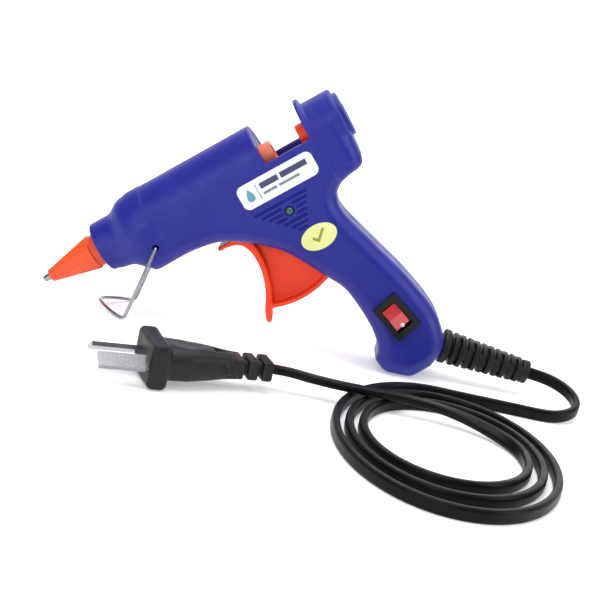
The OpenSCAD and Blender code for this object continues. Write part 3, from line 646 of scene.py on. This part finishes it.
def housing(side):
    """One half of the housing, side -1 near and 1 far."""
    low = (-1.0, -15.5 if side < 0 else -1.0, -106.0)
    high = (BARREL_LEN + FLANGE_LEN + 1.2, 1.0 if side < 0 else 15.5, 16.0)
    h = Field(low, high, SHELL_PITCH)
    _, (u, y, v) = h.part()
    flat = outline_distance(body_outline(), u, v)
    body = rounded_side(u, y, v, flat)
    ends = np.abs(u - BARREL_LEN / 2) - BARREL_LEN / 2
    round_top = smax(round_tops(u, y, v), ends, 1.0)
    blend = 0.4 + 4.6 * (1 - smooth_step(u, 14, 30))
    skin = smin(round_top, body, blend)
    h.f = smax(skin, -(skin + WALL), 0.4).astype(np.float32)
    h.add(tube_u(FLANGE_R, BARREL_LEN - WALL, BARREL_LEN + FLANGE_LEN, 0.7), 0.35)
    seats = [tube_u(NECK_R - 0.4, 4.4, 6.4)]
    seats += [tube_u(INNER_R + 0.6, a, a + SEAT_LEN)
              for a in (PIVOT[0] + 0.5, WINDOW_FRONT - 2.4, WINDOW_BACK + 0.2)]
    s = 1 if side > 0 else -1
    wall_y = s * (INNER_Y + 0.6)
    bosses = [tube_y(PIVOT, TRIGGER_PIN_R + PIN_BOSS_WALL, *sorted((s * 6.6, wall_y))),
              tube_y(STAND_AT, BOSS_R, *sorted((s * 10, wall_y)))]
    bosses += [tube_y(p, BOSS_R, *sorted((0, wall_y))) for p in SCREW_AT]
    for shape in seats + bosses:
        h.add(shape, 0.6, keep=skin)
    # Raised line over the stand and the lip around its hole
    h.add(block((STAND_AT[0] - 0.5, -14.35, -7.25), (STAND_AT[0] + 6.1, 14.35, -6.75), 0.2), 0.25)
    h.add(tube_y(STAND_AT, STAND_LIP_R, -14.25, 14.25, 0.2), 0.3)
    # Openings: window, nozzle seat, stick's way, carriage's bore and track, chamber, trigger's slot
    h.cut(block((WINDOW_FRONT, -30, WINDOW_FLOOR), (WINDOW_BACK, 30, 40)), 0.45)
    h.cut(tube_u(NECK_R - 2.4, -3, 11), 0.5)
    h.cut(tube_u(STICK_BORE_R + 0.5, WINDOW_BACK - 1, BARREL_LEN + 9), 0.6)
    h.cut(tube_u(5.15 + 0.12, WINDOW_FRONT - 20, WINDOW_FRONT + 20), 0.3)
    h.cut(block((PIVOT[0] - 8, -4.2, -10.7), (WINDOW_BACK + 9, 4.2, -4.7)), 0.2)
    h.cut(block((PIVOT[0] - 8, -5.4, -8.7), (WINDOW_BACK + 9, 5.4, -7.0)), 0.2)
    h.cut(block((13, -6.2, -11.2), (37, 6.2, -2)), 0.2)
    h.cut(tube_u(8.5, 9, 43), 0.2)
    slot = [(39.8, -14.6), (58, -22), (68, -35), (77.5, -50), (76, -57), (60, -56), (39.8, -30)]
    h.cut(plate(slot, TRIGGER_W / 2 + 0.5), 0.45)
    plain = tube_y(LAMP_AT, LAMP_DISC_R)
    for k in range(GROOVES):
        a, b = groove(k, s)
        shape = block(a, b, 0.3)
        h.cut(lambda u, y, v, g=shape, d=plain: np.maximum(g(u, y, v), -d(u, y, v)), 0.25,
              (a[0] - 2, low[1], a[2] - 2), (b[0] + 2, high[1], b[2] + 2))

    def turned(u, v, at, degrees):
        """Distances along and across an axis at a place in the side view."""
        c, t = turn(degrees)
        return (u - at[0]) * c - (v - at[1]) * t, (u - at[0]) * t + (v - at[1]) * c

    def boot_hole(u, y, v):
        along, up = turned(u, v, BOOT_AT, BOOT_TURN)
        across = np.hypot(up, y)
        hole = np.maximum(across - 5.1, np.abs(along) - 8)
        seat = np.maximum(across - 7.25, -along)
        return np.minimum(hole, seat)
    h.cut(boot_hole, 0.4)
    h.cut(tube_y(STAND_AT, STAND_HOLE_R), 0.3)
    if side < 0:
        h.cut(tube_y(LAMP_AT, LAMP_HOLE_R, -16, -5), 0.3)

        def switch_hole(u, y, v):
            a, b = turned(u, v, SWITCH_AT, SWITCH_TURN)
            return np.maximum(np.maximum(np.abs(a) - SWITCH_HOLE[0], np.abs(b) - SWITCH_HOLE[1]), y + 4)
        h.cut(switch_hole, 0.3)
    else:
        for p in SCREW_AT:
            h.cut(tube_y(p, SCREW_HOLE_R, -1, 16), 0.2)
            h.cut(tube_y(p, SCREW_WELL_R, BARREL_R - SCREW_WELL_DEEP, 17), 0.4)
    h.f = smax(h.f, 0.02 - s * y, 0.35).astype(np.float32)
    return h


for half_side, half_name in ((-1, "near_shell"), (1, "far_shell")):
    field_piece("housing_" + half_name, housing(half_side), BLUE, "housing", STANCE,
                stands_for=(half_name,))


# ---------------------------------------------------------------- nozzle cover
COVER_TIP_R, COVER_BASE_R, COVER_SIDES, COVER_BORE_R = 2.65, 7.6, 8, 1.45


def nozzle_cover():
    n = Field((-TIP_LEN + 1.4, -8.6, -8.6), (5.4, 8.6, 8.6), 0.28)

    def facets(u, y, v):
        r = COVER_TIP_R + (COVER_BASE_R - COVER_TIP_R) * (u + COVER_COLLAR + COVER_LEN) / COVER_LEN
        far = -1e3
        for k in range(COVER_SIDES):
            c, s = turn(360 / COVER_SIDES * k)
            far = smax(far, y * c + v * s, 0.12)
        flat = r * math.cos(math.pi / COVER_SIDES)
        cone = (far - flat) * 0.975  # the faces slope, so this is nearer the true distance
        return smax(cone, np.abs(u + COVER_COLLAR + COVER_LEN / 2) - COVER_LEN / 2, 0.4)
    n.add(facets, 0.2)
    n.add(tube_u(6.5, -COVER_COLLAR - 0.4, 4.2, 0.3), 0.35)
    n.cut(tube_u(COVER_BORE_R, -40, 0), 0.3)
    return n


field_piece("nozzle_cap", nozzle_cover(), ORANGE, "housing", STANCE, stands_for=("nozzle_cover",))


# ---------------------------------------------------------------- trigger
BLADE = [(-19.6, -0.9), (-15.6, -1.0), (-11.8, 0), (-8.6, -1.4), (-6.2, -6), (-5.8, -12), (-6.9, -19),
         (-9.4, -26.4), (-12.6, -32.4), (-14.5, -36.0), (-15.9, -37.1), (-17.1, -36.0), (-15.6, -31.9),
         (-12.7, -27.2), (-10.4, -22.2), (-9.1, -17.7), (-8.6, -13.2), (-8.8, -9.2), (-10.1, -5.6),
         (-12.2, -3.7), (-15.9, -2.6), (-19.4, -2.5), (-19.6, -0.9)]
FAN_R, FAN_FROM, FAN_TO, WEB_T, ARM_LEN = 34.7, 249, 298, 3.6, 12.5


def arc(r, a, b, n=20):
    return [tuple(r * turn(x)) for x in np.linspace(a, b, n)]


def trigger():
    t = Field((-21, -7, -39), (18.2, 7, 15), 0.36)
    half = TRIGGER_W / 2
    t.add(plate(spline(BLADE, 5)[:-1], half, 0.9), 0.3)
    web = [(-9, -4), (-3, 0), (3, 0)] + arc(FAN_R, FAN_TO, FAN_FROM) + [(-9, -26), (-6.4, -14)]
    t.add(plate(web, WEB_T / 2, 0.4), 1.1)
    rim = arc(FAN_R, FAN_FROM, FAN_TO) + arc(FAN_R - 1.6, FAN_TO, FAN_FROM)
    t.add(plate(rim, half, 0.5), 0.9)
    t.add(tube_y((0, 0), TRIGGER_PIN_R + 2, -WEB_T / 2 - 1.2, WEB_T / 2 + 1.2, 0.3), 0.5)
    c, s = turn(-TRIGGER_STROKE / 2)

    def arm(u, y, v):
        a, b = u * c + v * s, -u * s + v * c
        bar = np.maximum(np.maximum(np.abs(a) - 1.1, np.abs(b - ARM_LEN / 2) - ARM_LEN / 2), np.abs(y) - 2.5)
        knob = np.maximum(np.hypot(a, b - ARM_LEN) - 1.5, np.abs(y) - 2.5)
        return np.minimum(bar, knob)
    t.add(arm, 0.3)
    t.cut(tube_y((0, 0), TRIGGER_PIN_R + TURN_FIT), 0.2)
    return t


field_piece("trigger_lever", trigger(), RED_ORANGE, "trigger_lever",
            STANCE.within(np.eye(3), (PIVOT[0], 0, PIVOT[1])), stands_for=("trigger",))


# ---------------------------------------------------------------- boot
def boot():
    b = Field((-4.8, -7.6, -7.6), (BOOT_LEN + 0.6, 7.6, 7.6), 0.3)
    ribs, start, squareness = 10, 4.3, 3.2
    first_r, less_r, bridge = 6.5, 0.17, 2.1
    pitch = (BOOT_LEN - 7) / ribs

    def ring(r, s0, s1, k=0.35, power=2.0):
        def shape(s, y, z):
            far = (np.abs(y) ** power + np.abs(z) ** power) ** (1 / power)
            return smax(far - r, np.abs(s - (s0 + s1) / 2) - (s1 - s0) / 2, k)
        return shape
    b.add(ring(6.4, -4.4, -2.5))
    b.add(ring(5, -4.2, 1.8))
    b.add(ring(6.95, 0.05, 2.9, 0.7), 0.3)
    b.add(ring(5.9, 2.4, 3.5, 0.4), 0.3)
    b.add(lambda s, y, z: smax(np.hypot(y, z) - (4.5 - 1.3 * s / BOOT_LEN), np.abs(s - 18) - 18, 0.3), 0.3)
    for k in range(ribs):
        s0, r = start + k * pitch, first_r - less_r * k
        b.add(ring(r - 0.1, s0, s0 + 0.6 * pitch, 0.4, squareness), 0.25)
        across, upright = (r - 0.5, bridge) if k % 2 else (bridge, r - 0.5)
        b.add(block((s0 + 0.5, -across, -upright), (s0 + pitch + 0.4, across, upright), 0.3), 0.3)
    b.add(ring(4.75, BOOT_LEN - 3.2, BOOT_LEN - 0.1, 0.6), 0.3)
    b.cut(block((BOOT_LEN - 1.2, -1.7, -2.55), (BOOT_LEN + 5, 1.7, 2.55), 0.8), 0.3)
    return b


field_piece("strain_boot", boot(), RUBBER, "housing", BOOT, stands_for=("cord_boot",))


# ---------------------------------------------------------------- plug
PLUG_STATIONS = (14, 22, 32, 40, 48)
PLUG_HALF_WIDE, PLUG_HALF_TALL = (4.9, 7.4, 10.1, 10.6, 10.6), (4.2, 5.2, 6.0, 6.0, 6.0)


def plug():
    p = Field((-0.8, -12.8, -9.2), (47.4, 12.8, 9.2), 0.36)

    def body(x, y, z):
        wide = np.interp(x.ravel(), PLUG_STATIONS, PLUG_HALF_WIDE).reshape(x.shape)
        tall = np.interp(x.ravel(), PLUG_STATIONS, PLUG_HALF_TALL).reshape(x.shape)
        power = 3.2
        far = ((np.abs(y) / wide) ** power + (np.abs(z) / tall) ** power) ** (1 / power)
        return smax((far - 1) * tall * 0.9, np.abs(x - 28) - 14, 0.6)
    p.add(body, 0.3)
    p.add(block((39.6, -11.8, -8.0), (46.6, 11.8, 8.0), 2.0), 1.0)
    for x0 in (0, 5.4, 10.8):
        p.add(block((x0, -5.2, -3.6), (x0 + 4, 5.2, 3.6), 0.9), 0.3)
    p.add(lambda x, y, z: smax(np.hypot(y / 1.25, z) - 2.9, np.abs(x - 8) - 8, 0.3), 0.3)
    p.add(block((13.6, -5.0, -3.5), (17.5, 5.0, 3.5), 1.0), 1.2)
    for s in (-1, 1):  # barbs at the start of the body
        barb = [(14.6, 0), (17.4, s * 3.2), (19.8, 0)]
        p.add(lambda x, y, z, b=np.array(barb), s=s: smax(
            outline_distance(b + np.array((0, s * 4.6)), x, y), np.abs(z) - 1.6, 0.4), 0.5)
    # Scooped grip on both broad faces, and an arrow-shaped recess
    scoop_at, scoop_r = (31, -3, 22.5), 17.2
    arrow = np.array([(16.6, 0), (21.6, -2.2), (21.6, 2.2)])
    for s in (-1, 1):
        def scoop(x, y, z, s=s):
            away = (x - scoop_at[0]) ** 2 + (y - scoop_at[1]) ** 2 + (z - s * scoop_at[2]) ** 2
            return np.sqrt(away) - scoop_r
        p.cut(scoop, 1.6)
        p.cut(lambda x, y, z, s=s: smax(outline_distance(arrow, x, y), 3.9 - s * z, 0.3), 0.3)
        for x0 in (4.7, 10.1):  # slots across the relief
            p.cut(lambda x, y, z, s=s, x0=x0: smax(np.hypot(x - x0, y / 2.2) - 0.9, 2.2 - s * z, 0.2), 0.2)
    p.cut(block((-3, -2.5, -1.65), (1.2, 2.5, 1.65), 0.8), 0.3)
    return p


PLUG_BODY = field_piece("plug_shell", plug(), RUBBER, "housing", PLUG, stands_for=("plug_body",))


# ---------------------------------------------------------------- wire stand
# Foot loop from the near foot to its middle, and how far the ends reach into the housing
LOOP_POINTS = ((-2.8, 2.6, 3.2), (-5.4, 7.4, 6.4), (-7.2, 11.8, 8.8), (-7.9, 14.1, 9.5))
LEG_ROUNDS, LOOP_ROUND, PIVOT_REACH = (1.3, 2.2), 3, 5


def stand():
    """Bent wire: both legs and the foot loop, as one tube."""
    bend = np.array([FOOT_AT[0], -LEG_Y, FOOT_AT[1]])
    top = np.array([STAND_AT[0], -LEG_Y, STAND_AT[1]])
    loop = [bend + np.array(d) for d in LOOP_POINTS]
    half = [top + np.array([0, PIVOT_REACH, 0]), top, bend] + loop
    mirror = [p * np.array([1, -1, 1]) for p in half[::-1]]
    line = filleted(half + mirror, LEG_ROUNDS + (LOOP_ROUND,) * (2 * len(loop)) + LEG_ROUNDS[::-1], 7)
    step = np.linalg.norm(np.diff(line, axis=0), axis=1)
    line = line[np.concatenate([[True], step > 1e-3])]
    a = np.linspace(0, 2 * np.pi, 16, endpoint=False)
    ahead = np.gradient(line, axis=0)
    ahead /= np.linalg.norm(ahead, axis=1)[:, None]
    one = np.cross(ahead[0], (0.3, 0, 1.0))
    rings = []
    for p, d in zip(line, ahead):  # carry the same side along, so the tube doesn't twist
        one = one - d * (one @ d)
        one /= np.linalg.norm(one)
        two = np.cross(d, one)
        rings.append(p + WIRE_R * (np.cos(a)[:, None] * one + np.sin(a)[:, None] * two))
    n = len(a)
    points = np.vstack(rings + [line[:1], line[-1:]])
    faces = [(i * n + k, i * n + (k + 1) % n, (i + 1) * n + (k + 1) % n, (i + 1) * n + k)
             for i in range(len(line) - 1) for k in range(n)]
    last = (len(line) - 1) * n
    faces += [((k + 1) % n, k, len(points) - 2) for k in range(n)]
    faces += [(last + k, last + (k + 1) % n, len(points) - 1) for k in range(n)]
    return points, faces


add_mesh("stand_wire", *stand(), STEEL, "stand", STANCE, stands_for=("wire_stand",))


# ---------------------------------------------------------------- printed marks, all plain shapes
def flat_mark(name, outline, y, material, body, place, thick=0.03):
    """Thin printed shape: an outline in the (x, z) plane, lifted from y towards the viewer."""
    o = np.array(outline, float)
    n = len(o)
    front = np.stack([o[:, 0], np.full(n, y - thick), o[:, 1]], 1)
    back = np.stack([o[:, 0], np.full(n, y), o[:, 1]], 1)
    faces = [tuple(range(n)), tuple(range(2 * n - 1, n - 1, -1))]
    faces += [(k, n + k, n + (k + 1) % n, (k + 1) % n) for k in range(n)]
    piece = add_mesh(name, np.vstack([front, back]), faces, material, body, place)
    piece.data.polygons.foreach_set("use_smooth", [False] * len(piece.data.polygons))
    return piece


def bar(x0, x1, z, height, r=0.2):
    h = height / 2
    corners = [(x0, z - h), (x1, z - h), (x1, z + h), (x0, z + h)]
    out = []
    for (cx, cz), start, sx, sz in zip(corners, (180, 270, 0, 90), (1, -1, -1, 1), (1, 1, -1, -1)):
        for d in (0, 45, 90):
            c, s = turn(start + d)
            out.append((cx + sx * r + r * c, cz + sz * r + r * s))
    return out


def label_marks():
    """A drop, a rule and four bars on the label, and a tick on the sticker."""
    lu, lv = LABEL_AT
    top = -SIDE_Y - LABEL_T
    drop = [(lu - 11.9 + 2.1 * math.sin(a) * math.sin(a / 2) ** 1.2, lv + 0.1 + 2.6 * math.cos(a))
            for a in np.linspace(0, 2 * np.pi, 40, endpoint=False)]
    flat_mark("label_drop", drop[::-1], top, INK_TEAL, "housing", STANCE)
    flat_mark("label_rule", bar(lu - 8.6, lu - 8.25, lv, 6.4, 0.05), top, INK_GREY, "housing", STANCE)
    flat_mark("label_bar_1", bar(lu - 6.9, lu + 0.9, lv + 1.5, 2.3), top, INK_NAVY, "housing", STANCE)
    flat_mark("label_bar_2", bar(lu + 1.9, lu + 13.2, lv + 1.5, 2.3), top, INK_NAVY, "housing", STANCE)
    flat_mark("label_bar_3", bar(lu - 6.9, lu - 1.1, lv - 1.6, 1.0, 0.15), top, INK_GREY, "housing", STANCE)
    flat_mark("label_bar_4", bar(lu - 0.2, lu + 8.6, lv - 1.6, 1.0, 0.15), top, INK_GREY, "housing", STANCE)
    su, sv = STICKER_AT
    tick = [(-2.9, 0.2), (-2.1, 0.9), (-0.9, -0.5), (2.6, 2.7), (3.3, 2.0), (-0.9, -2.1)]
    flat_mark("sticker_tick", [(su + a, sv + b) for a, b in tick][::-1], top, INK_OLIVE, "housing", STANCE)


label_marks()


# ---------------------------------------------------------------- CAD nodes that keep their shape
KEPT = {
    "nozzle_tip": NICKEL, "insulator_ring": CERAMIC, "melt_chamber": CAST, "ptc_heater": HEATER,
    "heater_clip": STEEL, "inlet_sleeve": SLEEVE, "sleeve_clamp": STEEL, "feed_carriage": RED_ORANGE,
    "trigger_pin": STEEL, "return_spring": STEEL, "switch_case": SWITCH_BLACK, "rocker": ROCKER_RED,
    "switch_terminals": BRASS, "wire_connectors": IVORY, "inner_wires": WIRE_BROWN, "led_lamp": LAMP_GREEN,
    "led_board": BOARD, "cord_clamp": WHITE_CLAMP, "clamp_screws": STEEL, "housing_screws": STEEL,
    "label": PAPER, "inspection_sticker": YELLOW_PAPER, "plug_pins": NICKEL,
}
ROUNDING = {"switch_case": 0.35, "rocker": 0.3, "plug_pins": 0.25, "inlet_sleeve": 0.3, "feed_carriage": 0.3,
            "nozzle_tip": 0.12, "housing_screws": 0.25, "led_board": 0.08, "cord_clamp": 0.25,
            "label": 0.04, "inspection_sticker": 0.04, "melt_chamber": 0.3, "heater_clip": 0.1}
for node_name, material in KEPT.items():
    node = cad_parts[node_name]
    node.data.materials.clear()
    node.data.materials.append(material)
    if node_name in ROUNDING:
        soft = node.modifiers.new("rounding", "BEVEL")
        soft.width, soft.segments, soft.limit_method = ROUNDING[node_name] * MM, 3, "ANGLE"
        soft.angle_limit, soft.harden_normals = math.radians(28), False


def rocker_dot():
    """Printed spot on the lower half of the rocker, laid on its tilted face."""
    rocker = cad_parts["rocker"]
    start, ahead = Vector(SWITCH.points([(3.3, -8, 0)])[0]), Vector((0, 1, 0))
    found, spot, slant, _ = rocker.ray_cast(start, ahead)
    if not found:
        raise RuntimeError("the rocker isn't where its dot goes")
    one = slant.cross(Vector((1, 0, 0.3))).normalized()
    two = slant.cross(one)
    dot_r, above, below = 0.8 * MM, 0.05 * MM, -0.02 * MM
    ring = [math.radians(a) for a in range(0, 360, 15)]
    rim = [(spot + dot_r * (one * math.cos(a) + two * math.sin(a))) for a in ring]
    points = [(p + slant * h) / MM for h in (above, below) for p in rim]
    n = len(ring)
    faces = [tuple(range(n)), tuple(range(2 * n - 1, n - 1, -1))]
    faces += [(k, n + k, n + (k + 1) % n, (k + 1) % n) for k in range(n)]
    add_mesh("rocker_dot", points, faces, DOT_WHITE, "switch_rocker")


rocker_dot()


# ---------------------------------------------------------------- floor, light and sky
WHITE = (1, 1, 1, 1)


def stage():
    """Pale sweep: a floor that curves up into a wall far behind."""
    depth, rise, reach = 1.6, 0.5, 2.6
    curve = [(-2.2, 0), (depth - rise, 0)]
    curve += [(depth - rise + rise * math.sin(a), rise - rise * math.cos(a))
              for a in np.linspace(0.1, math.pi / 2, 14)]
    curve.append((depth, 2.6))
    n = len(curve)
    points = [(x, y, z) for x in (-reach, reach) for y, z in curve]
    faces = [(k, n + k, n + k + 1, k + 1) for k in range(n - 1)]
    mesh = bpy.data.meshes.new("floor")
    mesh.from_pydata(points, [], faces)
    mesh.polygons.foreach_set("use_smooth", [True] * len(mesh.polygons))
    m = Mat("floor_paper")
    tone = m.mix(m.spread(m.noise(6, 2), 0.3, 0.7), (0.86, 0.86, 0.865, 1), (0.88, 0.88, 0.885, 1))
    mesh.materials.append(m.finish(tone, 0.9, Emission_Color=WHITE, Emission_Strength=0.3))
    floor = bpy.data.objects.new("floor", mesh)
    bpy.context.scene.collection.objects.link(floor)


def light(name, place, aim, size, watts, tint=(1, 1, 1)):
    data = bpy.data.lights.new(name, "AREA")
    data.shape, data.size, data.size_y = "RECTANGLE", size[0], size[1]
    data.energy, data.color = watts, tint
    lamp = bpy.data.objects.new(name, data)
    lamp.location = place
    lamp.rotation_euler = (Vector(aim) - Vector(place)).to_track_quat("-Z", "Y").to_euler()
    bpy.context.scene.collection.objects.link(lamp)


stage()
light("top_softbox", (-0.15, -0.1, 0.95), (0, 0, 0.03), (0.9, 0.7), 8.0)
light("front_fill", (-0.5, -1.1, 0.45), (0, 0, 0.04), (0.9, 0.6), 4.3)
light("right_strip", (0.8, -0.25, 0.45), (0.03, 0, 0.05), (0.3, 0.8), 3.2)
light("back_wash", (0.0, 0.8, 1.2), (0, 1.4, 0.3), (1.6, 0.5), 16)
world = bpy.data.worlds.new("studio")
world.use_nodes = True
world.node_tree.nodes["Background"].inputs["Color"].default_value = (0.95, 0.97, 1.0, 1)
world.node_tree.nodes["Background"].inputs["Strength"].default_value = 0.31
bpy.context.scene.world = world
bpy.context.scene.view_settings.view_transform = "Standard"
